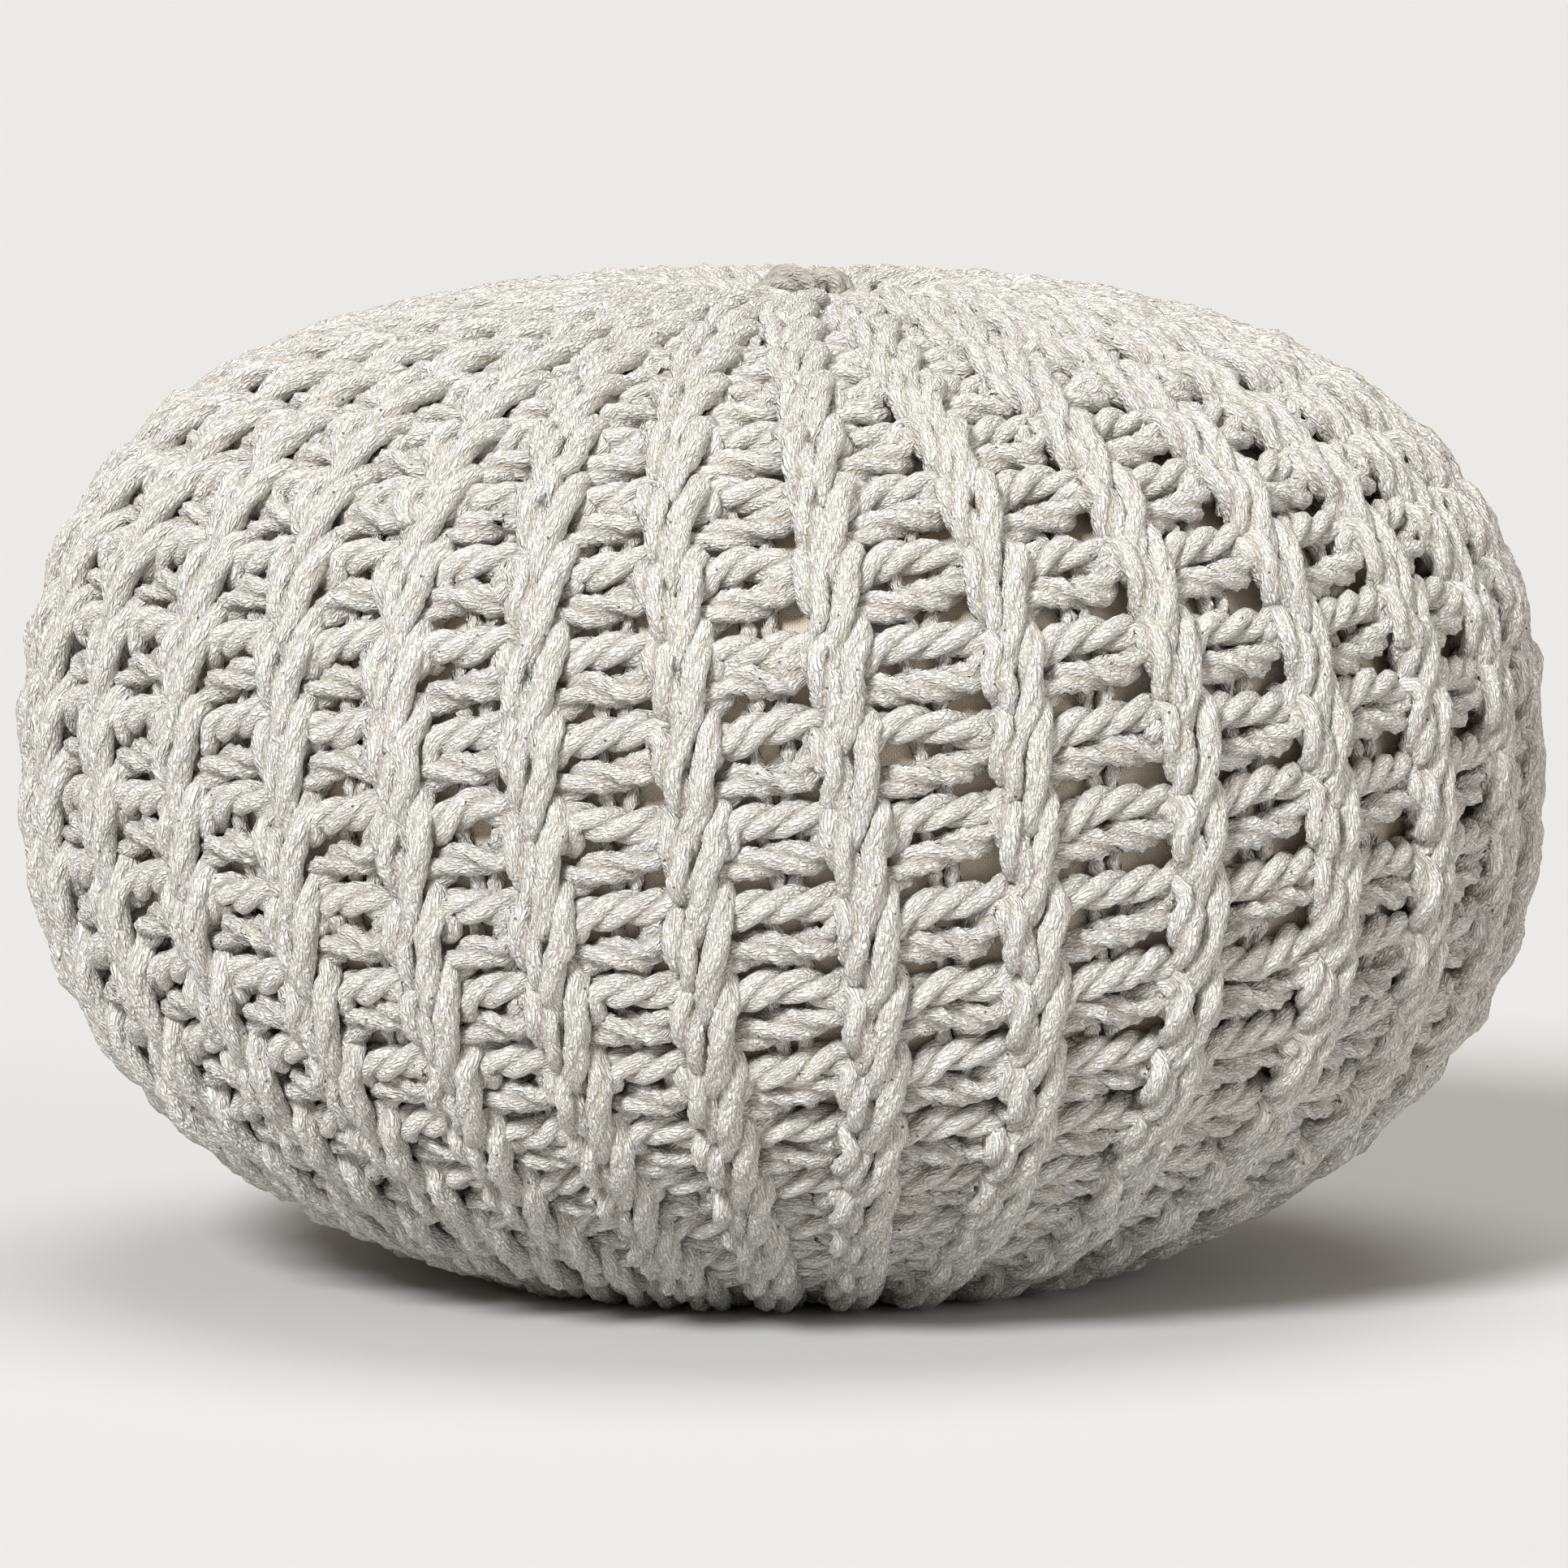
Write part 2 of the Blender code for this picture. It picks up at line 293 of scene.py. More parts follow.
# How strong each painted shade is, and between which values each smooth step lies.
YARN_EDGE = (0.0, 0.34)
PLY_LINE_EDGE = (0.72, 1.0)
PLY_LINE_SHADE = 0.60
CREASE_EDGE = (0.02, 0.16)
CREASE_BREAKS = (0.34, 0.56)
CREASE_SHADE = 0.85
FIBRE_SHADE_EDGE = (0.30, 0.48)
PAINTED_FIBRE_SHADE = 0.25


def tree_input(tree, name, kind):
    tree.interface.new_socket(name, in_out="INPUT", socket_type=kind)


def cord_tree():
    """Lays plied cord along each run of edges: a lobed section that turns and is closed at its ends."""
    tree = bpy.data.node_groups.new("plied_cord", "GeometryNodeTree")
    tree_input(tree, "Lines", "NodeSocketGeometry")
    tree_input(tree, "Cord Diameter", "NodeSocketFloat")
    tree_input(tree, "Lay Length", "NodeSocketFloat")
    tree_input(tree, "Ply Depth", "NodeSocketFloat")
    tree_input(tree, "Section Points", "NodeSocketInt")
    tree_input(tree, "Lump Height", "NodeSocketFloat")
    tree_input(tree, "Cord", "NodeSocketMaterial")
    tree.interface.new_socket("Geometry", in_out="OUTPUT", socket_type="NodeSocketGeometry")
    given = node_at(tree, "NodeGroupInput").outputs
    link = tree.links.new

    lines = node_at(tree, "GeometryNodeMeshToCurve")
    link(given["Lines"], lines.inputs["Mesh"])
    run = node_at(tree, "GeometryNodeSplineParameter").outputs["Length"]
    start = node_at(tree, "GeometryNodeInputNamedAttribute", data_type="FLOAT")
    start.inputs["Name"].default_value = "start_turn"
    turns = math_node(tree, "DIVIDE", run, given["Lay Length"])
    tilt = math_node(tree, "MULTIPLY_ADD", turns, math.tau, start.outputs[0])
    tilted = node_at(tree, "GeometryNodeSetCurveTilt")
    link(lines.outputs[0], tilted.inputs["Curve"])
    link(tilt, tilted.inputs["Tilt"])
    slim = node_at(tree, "GeometryNodeInputNamedAttribute", data_type="FLOAT")
    slim.inputs["Name"].default_value = "thickness"
    sized = node_at(tree, "GeometryNodeSetCurveRadius")
    link(tilted.outputs[0], sized.inputs["Curve"])
    link(slim.outputs[0], sized.inputs["Radius"])
    kept_run = node_at(tree, "GeometryNodeStoreNamedAttribute", data_type="FLOAT", domain="POINT")
    kept_run.inputs["Name"].default_value = "run"
    link(sized.outputs[0], kept_run.inputs["Geometry"])
    link(run, kept_run.inputs["Value"])

    ring = node_at(tree, "GeometryNodeCurvePrimitiveCircle", mode="RADIUS")
    link(given["Section Points"], ring.inputs["Resolution"])
    ring.inputs["Radius"].default_value = 1.0
    around = node_at(tree, "GeometryNodeSplineParameter").outputs["Factor"]
    lobes = math_node(tree, "COSINE", math_node(tree, "MULTIPLY", around, PLIES * math.tau))
    dip = math_node(tree, "MULTIPLY_ADD", lobes, 0.5, 0.5)
    valley = math_node(tree, "POWER", dip, VALLEY_SHARPNESS)
    depth = math_node(tree, "MULTIPLY", valley, given["Ply Depth"])
    reach = math_node(tree, "SUBTRACT", 1.0, depth)
    half = math_node(tree, "MULTIPLY", given["Cord Diameter"], 0.5)
    spot = node_at(tree, "GeometryNodeInputPosition")
    scaled = node_at(tree, "ShaderNodeVectorMath", operation="SCALE")
    link(spot.outputs[0], scaled.inputs[0])
    link(math_node(tree, "MULTIPLY", reach, half), scaled.inputs["Scale"])
    section = node_at(tree, "GeometryNodeSetPosition")
    link(ring.outputs[0], section.inputs["Geometry"])
    link(scaled.outputs[0], section.inputs["Position"])
    kept_spot = node_at(tree, "GeometryNodeStoreNamedAttribute", data_type="FLOAT_VECTOR",
                        domain="POINT")
    kept_spot.inputs["Name"].default_value = "section"
    link(section.outputs[0], kept_spot.inputs["Geometry"])
    link(spot.outputs[0], kept_spot.inputs["Value"])

    cord = node_at(tree, "GeometryNodeCurveToMesh")
    cord.inputs["Fill Caps"].default_value = True
    link(kept_run.outputs[0], cord.inputs["Curve"])
    link(kept_spot.outputs[0], cord.inputs["Profile Curve"])
    lumps = noise_node(tree, spot.outputs[0], LUMPS_PER_METRE, detail=1.0)
    unevenness = math_node(tree, "SUBTRACT", lumps, 0.5)
    outward = node_at(tree, "ShaderNodeVectorMath", operation="SCALE")
    link(node_at(tree, "GeometryNodeInputNormal").outputs[0], outward.inputs[0])
    link(math_node(tree, "MULTIPLY", unevenness, given["Lump Height"]), outward.inputs["Scale"])
    lumpy = node_at(tree, "GeometryNodeSetPosition")
    link(cord.outputs[0], lumpy.inputs["Geometry"])
    link(outward.outputs[0], lumpy.inputs["Offset"])
    smooth = node_at(tree, "GeometryNodeSetShadeSmooth")
    link(lumpy.outputs[0], smooth.inputs["Geometry"])
    real = node_at(tree, "GeometryNodeRealizeInstances")
    link(smooth.outputs[0], real.inputs["Geometry"])
    finish = node_at(tree, "GeometryNodeSetMaterial")
    link(real.outputs[0], finish.inputs["Geometry"])
    link(given["Cord"], finish.inputs["Material"])
    link(finish.outputs[0], node_at(tree, "NodeGroupOutput").inputs[0])
    return tree


def stepped(tree, value, low, high):
    """0 below low and 1 above high, with a smooth step between."""
    node = node_at(tree, "ShaderNodeMapRange", interpolation_type="SMOOTHSTEP")
    tree.links.new(value, node.inputs["Value"])
    node.inputs["From Min"].default_value = low
    node.inputs["From Max"].default_value = high
    return node.outputs[0]


def cotton_group():
    """Yarns and fibres along the cord, painted shade on the line between two plies, flecks and drift.
    """
    tree = bpy.data.node_groups.new("cotton_fibres", "ShaderNodeTree")
    tree_input(tree, "Section", "NodeSocketVector")
    for name in ("Run", "Yarn Turns", "Ply Line", "Hole Shade"):
        tree_input(tree, name, "NodeSocketFloat")
    tree.interface.new_socket("Colour", in_out="OUTPUT", socket_type="NodeSocketColor")
    for name in ("Roughness", "Height"):
        tree.interface.new_socket(name, in_out="OUTPUT", socket_type="NodeSocketFloat")
    given = node_at(tree, "NodeGroupInput").outputs
    link = tree.links.new
    spot = node_at(tree, "ShaderNodeTexCoord").outputs["Object"]

    ruffles = noise_node(tree, spot, RUFFLES_PER_METRE, detail=1.0)
    ruffle = math_node(tree, "SUBTRACT", ruffles, 0.5)
    flat = node_at(tree, "ShaderNodeSeparateXYZ")
    link(given["Section"], flat.inputs[0])
    around = math_node(tree, "ARCTAN2", flat.outputs[1], flat.outputs[0])
    plies = math_node(tree, "MULTIPLY", around, PLIES)
    wavering = math_node(tree, "MULTIPLY_ADD", ruffle, RUFFLE_PULL, plies)
    valley = math_node(tree, "MULTIPLY_ADD", math_node(tree, "COSINE", wavering), 0.5, 0.5)
    ply_line = stepped(tree, valley, *PLY_LINE_EDGE)
    between = math_node(tree, "MULTIPLY", ply_line, given["Ply Line"])

    unwound = node_at(tree, "ShaderNodeVectorRotate", rotation_type="Z_AXIS")
    link(given["Section"], unwound.inputs["Vector"])
    turns = math_node(tree, "MULTIPLY", given["Run"], given["Yarn Turns"])
    link(math_node(tree, "MULTIPLY", turns, math.tau), unwound.inputs["Angle"])
    straight = node_at(tree, "ShaderNodeSeparateXYZ")
    link(unwound.outputs[0], straight.inputs[0])
    lie = node_at(tree, "ShaderNodeCombineXYZ")
    link(straight.outputs[0], lie.inputs[0])
    link(straight.outputs[1], lie.inputs[1])
    link(math_node(tree, "MULTIPLY", given["Run"], YARN_WIDTH / YARN_SHOWING), lie.inputs[2])
    stray = noise_node(tree, spot, STRAYS_PER_METRE).node
    strayed = node_at(tree, "ShaderNodeVectorMath", operation="MULTIPLY_ADD")
    link(stray.outputs["Color"], strayed.inputs[0])
    strayed.inputs[1].default_value = (STRAY_REACH, STRAY_REACH, STRAY_REACH)
    link(lie.outputs[0], strayed.inputs[2])
    yarn = node_at(tree, "ShaderNodeTexVoronoi", feature="DISTANCE_TO_EDGE")
    yarn.inputs["Scale"].default_value = 1 / YARN_WIDTH
    link(strayed.outputs[0], yarn.inputs["Vector"])
    yarns = stepped(tree, yarn.outputs["Distance"], *YARN_EDGE)
    fibres = noise_node(tree, strayed.outputs[0], FIBRES_PER_YARN / YARN_WIDTH)
    fluff = noise_node(tree, spot, FLUFF_PER_METRE, detail=1.0)
    height = math_node(tree, "MULTIPLY", yarns, YARN_RELIEF)
    height = math_node(tree, "MULTIPLY_ADD", fibres, FIBRE_RELIEF, height)
    height = math_node(tree, "MULTIPLY_ADD", fluff, FLUFF_RELIEF, height)
    height = math_node(tree, "SUBTRACT", height, between)

    colour = mix_colours(tree, noise_node(tree, spot, DRIFT_PER_METRE), COTTON_CREAM, COTTON_WHITE)
    # Painted shade in the creases between yarns, broken up by the fluff.
    open_yarn = stepped(tree, yarn.outputs["Distance"], *CREASE_EDGE)
    painted_crease_shade = math_node(tree, "SUBTRACT", 1.0, open_yarn)
    painted_crease_shade = math_node(tree, "MULTIPLY", painted_crease_shade, stepped(tree, fluff, *CREASE_BREAKS))
    painted_crease_shade = math_node(tree, "MULTIPLY", painted_crease_shade, CREASE_SHADE)
    colour = mix_colours(tree, painted_crease_shade, colour, COTTON_SHADE)
    # Painted shade in the hollows between fibres.
    painted_fibre_shade = math_node(tree, "SUBTRACT", 1.0, stepped(tree, fibres, *FIBRE_SHADE_EDGE))
    painted_fibre_shade = math_node(tree, "MULTIPLY", painted_fibre_shade, PAINTED_FIBRE_SHADE)
    colour = mix_colours(tree, painted_fibre_shade, colour, COTTON_SHADE)
    # Painted shade on the line between two plies.
    painted_ply_shade = math_node(tree, "MULTIPLY", between, PLY_LINE_SHADE)
    colour = mix_colours(tree, painted_ply_shade, colour, COTTON_DEEP_SHADE)
    # Painted shade of the crown's hole: the knot's colour is mixed towards a darker grey.
    colour = mix_colours(tree, given["Hole Shade"], colour, COTTON_HOLE_SHADE)

    seeds = node_at(tree, "ShaderNodeTexVoronoi")
    seeds.inputs["Scale"].default_value = 1 / FLECK_SPACING
    link(spot, seeds.inputs["Vector"])
    near = math_node(tree, "LESS_THAN", seeds.outputs["Distance"], FLECK_REACH)
    chosen = node_at(tree, "ShaderNodeSeparateColor")
    link(seeds.outputs["Color"], chosen.inputs[0])
    few = math_node(tree, "GREATER_THAN", chosen.outputs[0], 1 - FLECK_SHARE)
    dyed = math_node(tree, "GREATER_THAN", chosen.outputs[1], 1 - DYED_SHARE)
    fleck_colour = mix_colours(tree, dyed, SEED_FLECK, DYED_FLECK)
    fleck = math_node(tree, "MULTIPLY", math_node(tree, "MULTIPLY", near, few), FLECK_STRENGTH)
    colour = mix_colours(tree, fleck, colour, fleck_colour)
    roughness = math_node(tree, "MULTIPLY_ADD", fluff, ROUGHNESS_DRIFT, COTTON_ROUGHNESS)

    out = node_at(tree, "NodeGroupOutput").inputs
    link(colour, out["Colour"])
    link(roughness, out["Roughness"])
    link(height, out["Height"])
    return tree


CORD_TREE = cord_tree()
COTTON_FIBRES = cotton_group()


def cotton_material(name, lay, lean, ply_line, hole_shade=0.0):
    """Cotton cord with a soft sheen. Its yarns undo its plies' turn and lean a little beside it."""
    material = bpy.data.materials.new(name)
    material.use_nodes = True
    tree = material.node_tree
    shader = tree.nodes["Principled BSDF"]
    fibres = node_at(tree, "ShaderNodeGroup", node_tree=COTTON_FIBRES)
    for attribute, output, socket in (("section", "Vector", "Section"), ("run", "Fac", "Run")):
        source = node_at(tree, "ShaderNodeAttribute", attribute_name=attribute)
        tree.links.new(source.outputs[output], fibres.inputs[socket])
    fibres.inputs["Yarn Turns"].default_value = 1 / lay + lean
    fibres.inputs["Ply Line"].default_value = ply_line
    fibres.inputs["Hole Shade"].default_value = hole_shade
    bump = node_at(tree, "ShaderNodeBump")
    bump.inputs["Strength"].default_value = 1.0
    bump.inputs["Distance"].default_value = COTTON_RELIEF
    tree.links.new(fibres.outputs["Height"], bump.inputs["Height"])
    tree.links.new(bump.outputs[0], shader.inputs["Normal"])
    tree.links.new(fibres.outputs["Colour"], shader.inputs["Base Color"])
    tree.links.new(fibres.outputs["Roughness"], shader.inputs["Roughness"])
    shader.inputs["Sheen Weight"].default_value = COTTON_SHEEN
    shader.inputs["Sheen Roughness"].default_value = SHEEN_ROUGHNESS
    return material


def smooth_runs(controls, samples):
    """Catmull-Rom runs through arrays of control points, each run with the same number of samples."""
    before = 2 * controls[:, :1] - controls[:, 1:2]
    after = 2 * controls[:, -1:] - controls[:, -2:-1]
    padded = np.concatenate([before, controls, after], axis=1)
    spots = np.linspace(0, controls.shape[1] - 1, samples)
    first = np.minimum(spots.astype(int), controls.shape[1] - 2)
    t = (spots - first)[None, :, None]
    p0, p1, p2, p3 = (padded[:, first + step] for step in range(4))
    return 0.5 * (2 * p1 + (p2 - p0) * t + (2 * p0 - 5 * p1 + 4 * p2 - p3) * t**2
                  + (3 * p1 - p0 - 3 * p2 + p3) * t**3)


def laid_cord(name, runs, thickness, material, diameter, lay, depth, points, seed):
    """The mesh of cord laid along runs of points, an array of runs by points by three."""
    draws = np.random.default_rng(seed)
    count, length = runs.shape[:2]
    lines = bpy.data.meshes.new(name + "_lines")
    lines.vertices.add(count * length)
    lines.vertices.foreach_set("co", runs.astype(np.float32).ravel())
    starts = np.arange(count * length).reshape(count, length)
    edges = np.stack([starts[:, :-1], starts[:, 1:]], axis=-1)
    lines.edges.add(count * (length - 1))
    lines.edges.foreach_set("vertices", edges.astype(np.int32).ravel())
    turn = np.repeat(draws.uniform(0, math.tau, count), length)
    for label, values in (("start_turn", turn), ("thickness", thickness.ravel())):
        attribute = lines.attributes.new(label, "FLOAT", "POINT")
        attribute.data.foreach_set("value", values.astype(np.float32))
    holder = bpy.data.objects.new(name + "_lines", lines)
    bpy.context.scene.collection.objects.link(holder)
    modifier = holder.modifiers.new("Plied cord", "NODES")
    modifier.node_group = CORD_TREE
    settings = {"Cord Diameter": diameter, "Lay Length": lay, "Ply Depth": depth,
                "Section Points": points, "Lump Height": LUMP_HEIGHT, "Cord": material}
    for item in CORD_TREE.interface.items_tree:
        if item.in_out == "INPUT" and item.name in settings:
            modifier[item.identifier] = settings[item.name]
    graph = bpy.context.evaluated_depsgraph_get()
    mesh = bpy.data.meshes.new_from_object(holder.evaluated_get(graph), depsgraph=graph)
    mesh.name = name
    bpy.data.objects.remove(holder)
    bpy.data.meshes.remove(lines)
    return mesh


# The rib stitches
# Each V of a rib is one stitch. Its right leg is the longer: it comes out of the V below, runs up
# to the right over the crossing cords, and its top goes behind the V above.
MM = 0.001
LEG_DIAMETER = 0.0087
LEG_LAY = 0.060
LEAN = 5.0
TAPER_SHARE = 0.2
SLIMMEST = 0.35
CORD_UNEVENNESS = 0.04
FLOOR_GAP = 0.3 * MM
# Where the tips of the Vs are, and how the ribs run.
STITCH_PITCH = 0.0272
FIRST_TIP = -0.034
TIP_BELOW_RIM = 0.6
TIP_UNEVENNESS = 0.8 * MM
TIP_SEED = 11
FRONT_RIB_ANGLE = math.radians(5.3)
RIB_SPREAD = math.radians(2.2)
RIB_SPREAD_WAVES = 3
RIB_TWIST_PER_METRE = math.radians(20.0)
BELT_MIDDLE = 0.3195
RIB_WANDER = 0.0012
RIB_WANDER_LENGTH = 0.190
RIB_WANDER_STEP = math.radians(120.0)
# Inside the merging radius half of the ribs have ended.
MERGE_RADIUS = 0.064
MERGE_EASE = 0.006
FULL_PITCH = 0.0198
NARROWEST_RIB = 0.35
WIDEST_RIB = 1.25
NEAREST_RADIUS = 0.012
# The knitting is slimmer where it is stretched over the underside, and flatter on the crown and in
# the basin round its hole. Each change begins at a radius and is full one band further in.
UNDER_SLIMMING = 0.26
STRETCH_RADIUS = 0.225
STRETCH_BAND = 0.11
CROWN_FLATTENING = 0.12
CROWN_FLAT_RADIUS = 0.20
CROWN_FLAT_BAND = 0.08
BASIN_FLATTENING = 0.34
BASIN_RADIUS = 0.065
BASIN_BAND = 0.045
RIM_RADIUS = 0.0205
RIM_BEND = 0.007
RIM_BEND_POINTS = 10
RIM_DEPTH = 0.024
RIM_DRAWN_IN = 0.001


def drawn_meridian():
    """The pouf's meridian with the crown's hole: it bends over the rim and goes down inside."""
    along, radius, height = SKIN
    flat = (along < WIDTH / 2) | (radius > RIM_RADIUS + RIM_BEND)
    radius, height = radius[flat], height[flat]
    turn = np.linspace(0, math.pi / 2, RIM_BEND_POINTS)[1:]
    bend_radius = radius[-1] - RIM_BEND * np.sin(turn)
    bend_height = height[-1] - RIM_BEND * (1 - np.cos(turn))
    radius = np.concatenate([radius, bend_radius, [RIM_RADIUS - RIM_DRAWN_IN]])
    height = np.concatenate([height, bend_height, [height[-1] - RIM_DEPTH]])
    run = np.concatenate([[0.0], np.cumsum(np.hypot(np.diff(radius), np.diff(height)))])
    return run - FOOT_RADIUS, radius, height


CLOTH = drawn_meridian()
RIM_ALONG = CLOTH[0][-1] - RIM_DEPTH
LAST_TIP = RIM_ALONG - TIP_BELOW_RIM * STITCH_PITCH
ROW_COUNT = int((LAST_TIP - FIRST_TIP) / STITCH_PITCH) + 1


def rib_azimuth(rib, along):
    """Where a rib runs, as the solid's ribs do."""
    even = FRONT_RIB_ANGLE + rib * math.tau / RIB_COUNT
    spread = RIB_SPREAD * (1 - np.cos(RIB_SPREAD_WAVES * even))
    twist = RIB_TWIST_PER_METRE * (BELT_MIDDLE - along)
    wander = np.sin(math.tau * along / RIB_WANDER_LENGTH + RIB_WANDER_STEP * rib)
    return even + spread + twist + wander * RIB_WANDER / np.maximum(radius_at(along), FOOT_RADIUS)


def ribs_left(radius):
    """The knitter halves the number of ribs where they draw together at the crown and the foot."""
    merged = smooth_step((MERGE_RADIUS + MERGE_EASE - radius) / (2 * MERGE_EASE))
    return RIB_COUNT * (1 - 0.5 * merged)


def crowding(along):
    """How wide a rib is: 1 where there is room, less where ribs crowd, more once they are fewer."""
    radius = radius_at(along, CLOTH)
    room = math.tau * radius / ribs_left(radius) / FULL_PITCH
    gathered = np.clip(room, NARROWEST_RIB, WIDEST_RIB)
    crowd = np.where(radius > MERGE_RADIUS + MERGE_EASE, np.minimum(room, 1.0), gathered)
    stretched = smooth_step((STRETCH_RADIUS - radius) / STRETCH_BAND) * (along < WIDTH / 2)
    return crowd * (1 - UNDER_SLIMMING * stretched)


def settling(along):
    """How much of its height the knitting keeps: it lies tighter on the crown and in its basin."""
    radius = radius_at(along, CLOTH)
    on_crown = smooth_step((CROWN_FLAT_RADIUS - radius) / CROWN_FLAT_BAND) * (along > WIDTH / 2)
    near_hole = smooth_step((BASIN_RADIUS - radius) / BASIN_BAND) * (along > WIDTH / 2)
    return 1 - CROWN_FLATTENING * on_crown - BASIN_FLATTENING * near_hole


def tip_places():
    """How far up each V's tip sits. Knitted in the round, each rib starts a little higher."""
    draws = np.random.default_rng(TIP_SEED)
    rows = np.arange(ROW_COUNT + 2)[:, None]
    ribs = np.arange(RIB_COUNT)[None, :]
    tips = FIRST_TIP + (rows + ribs / RIB_COUNT) * STITCH_PITCH
    return tips + draws.normal(0.0, TIP_UNEVENNESS, tips.shape)


TIPS = tip_places()


def stitch_places():
    """Rows and ribs of the stitches: inside the merging radius only every other rib goes on."""
    places = []
    for row in range(ROW_COUNT):
        for rib in range(RIB_COUNT):
            tip = TIPS[row, rib]
            merged = radius_at(tip + 0.5 * STITCH_PITCH, CLOTH) < MERGE_RADIUS
            if tip < LAST_TIP and not (merged and rib % 2):
                places.append((row, rib))
    return np.array(places)


STITCHES = stitch_places()


def stitch_runs(controls, rows, ribs, diameter, samples, seed, wobble):
    """Smooth runs through a stitch's controls, unevenly, for each of its rows and ribs.

    Each control is (share of the way to the next rib, across, up, above the casing). All but the
    share are in millimetres from the V's tip, and wobble is how uneven those three are.
    """
    draws = np.random.default_rng(seed)
    table = np.broadcast_to(np.array(controls), (len(rows), len(controls), 4)).copy()
    table[:, :, 1:] *= MM
    table[:, :, 1:] += draws.normal(0.0, 1.0, table[:, :, 1:].shape) * np.array(wobble) * MM
    share, across, up, above = (table[:, :, column] for column in range(4))
    next_rib = (ribs + 1) % RIB_COUNT
    next_row = rows + (ribs + 1) // RIB_COUNT
    tip = TIPS[rows, ribs][:, None] * (1 - share) + TIPS[next_row, next_rib][:, None] * share
    along = tip + up
    crowd = crowding(along)
    here = rib_azimuth(ribs[:, None], along)
    there = rib_azimuth(ribs[:, None] + 1, along)
    radius = np.maximum(radius_at(along, CLOTH), NEAREST_RADIUS)
    azimuth = here * (1 - share) + there * share + across * crowd / radius
    above = above * settling(along)
    fabric = smooth_runs(np.stack([azimuth, along, above], axis=-1), samples)
    crowd = crowding(fabric[:, :, 1])
    unevenness = draws.normal(1.0, CORD_UNEVENNESS, (len(rows), 1))
    thickness = (SLIMMEST + (1 - SLIMMEST) * crowd) * unevenness
    lowest = diameter / 2 + FLOOR_GAP
    points = pouf_points(fabric[:, :, 0], fabric[:, :, 1], fabric[:, :, 2], CLOTH, lowest)
    return points, thickness


def tapered(thickness, start, end):
    """Slims each run's first and last points, where the cord dives out of sight."""
    spots = np.linspace(0, 1, thickness.shape[1])
    first = start + (1 - start) * smooth_step(spots / TAPER_SHARE)
    last = end + (1 - end) * smooth_step((1 - spots) / TAPER_SHARE)
    return thickness * first * last


rib_cotton = cotton_material("rib_cotton", LEG_LAY, LEAN, ply_line=0.45)
# The rows of a stitch's table are its controls, as stitch_runs reads them.
RIGHT_LEG = (
    (0, -2.9, -14.0, 5.5),
    (0, -2.4, -9.5, 9.4),
    (0, -1.4, -4.5, 12.0),
    (0, 0.6, 2.5, 13.6),
    (0, 2.4, 9.5, 14.2),
    (0, 4.2, 17.0, 13.9),
    (0, 5.6, 24.0, 12.3),
    (0, 6.2, 29.0, 9.4),
    (0, 4.6, 32.6, 6.0),
)
rows, ribs = STITCHES.T
leg_runs, leg_thickness = stitch_runs(RIGHT_LEG, rows, ribs, LEG_DIAMETER, samples=17, seed=21,
                                      wobble=(0.55, 1.0, 0.40))
leg_thickness = tapered(leg_thickness, start=0.55, end=0.7)
leg_mesh = laid_cord("rib_stitches", leg_runs, leg_thickness, rib_cotton, LEG_DIAMETER, LEG_LAY,
                     depth=0.12, points=9, seed=31)
rib_stitches = finished_piece("rib_stitches", leg_mesh)
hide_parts("knitted_cover")


# The wrapped bars
# One bar of every two comes from behind a rib, crosses the bay nearly straight and curls over into
# the left leg of the next rib's V, whose tip tucks under the right leg. One cord, one piece.
BAR_DIAMETER = 0.0124
WRAPPED_LAY = 0.045
WRAPPED_SAMPLES = 25
LEG_BEGINS = 0.50
LEG_BAND = 0.3
LEG_PULLED_THIN = 0.20
wrapped_cotton = cotton_material("wrapped_cotton", WRAPPED_LAY, -LEAN, ply_line=0.7)
LEFT_LEG = (
    (-7.4, 23.4, 9.6),
    (-7.0, 19.8, 12.2),
    (-6.2, 13.2, 12.8),
    (-4.9, 7.6, 11.6),
    (-3.6, 2.2, 9.2),
    (-2.6, -2.6, 6.4),
)
WRAPPED_BAR = (
    (0, 2.0, 4.5, 3.6),
    (0, 7.6, 8.2, 5.4),
    (0.30, 2.0, 11.8, 6.9),
    (0.60, 0.0, 13.2, 7.0),
    (1, -13.0, 16.2, 7.0),
    (1, -9.8, 20.2, 7.8),
    *((1, *place) for place in LEFT_LEG),
)
middles = TIPS[STITCHES[:, 0], STITCHES[:, 1]] + 0.5 * STITCH_PITCH
is_open = radius_at(middles, CLOTH) > MERGE_RADIUS
open_places = STITCHES[is_open]
in_upper_half = open_places[:, 0] >= ROW_COUNT // 2
pulled = smooth_step((np.linspace(0, 1, WRAPPED_SAMPLES) - LEG_BEGINS) / LEG_BAND)
for half, name in enumerate(("wrapped_bars_lower", "wrapped_bars_upper")):
    rows, ribs = open_places[in_upper_half == bool(half)].T
    bar_runs, bar_thickness = stitch_runs(WRAPPED_BAR, rows, ribs, BAR_DIAMETER,
                                          samples=WRAPPED_SAMPLES, seed=41 + half,
                                          wobble=(0.7, 1.1, 0.40))
    bar_thickness = tapered(bar_thickness * (1 - LEG_PULLED_THIN * pulled), start=0.8, end=0.7)
    bar_mesh = laid_cord(name, bar_runs, bar_thickness, wrapped_cotton, BAR_DIAMETER, WRAPPED_LAY,
                         depth=0.44, points=12, seed=51 + half)
    finished_piece(name, bar_mesh)


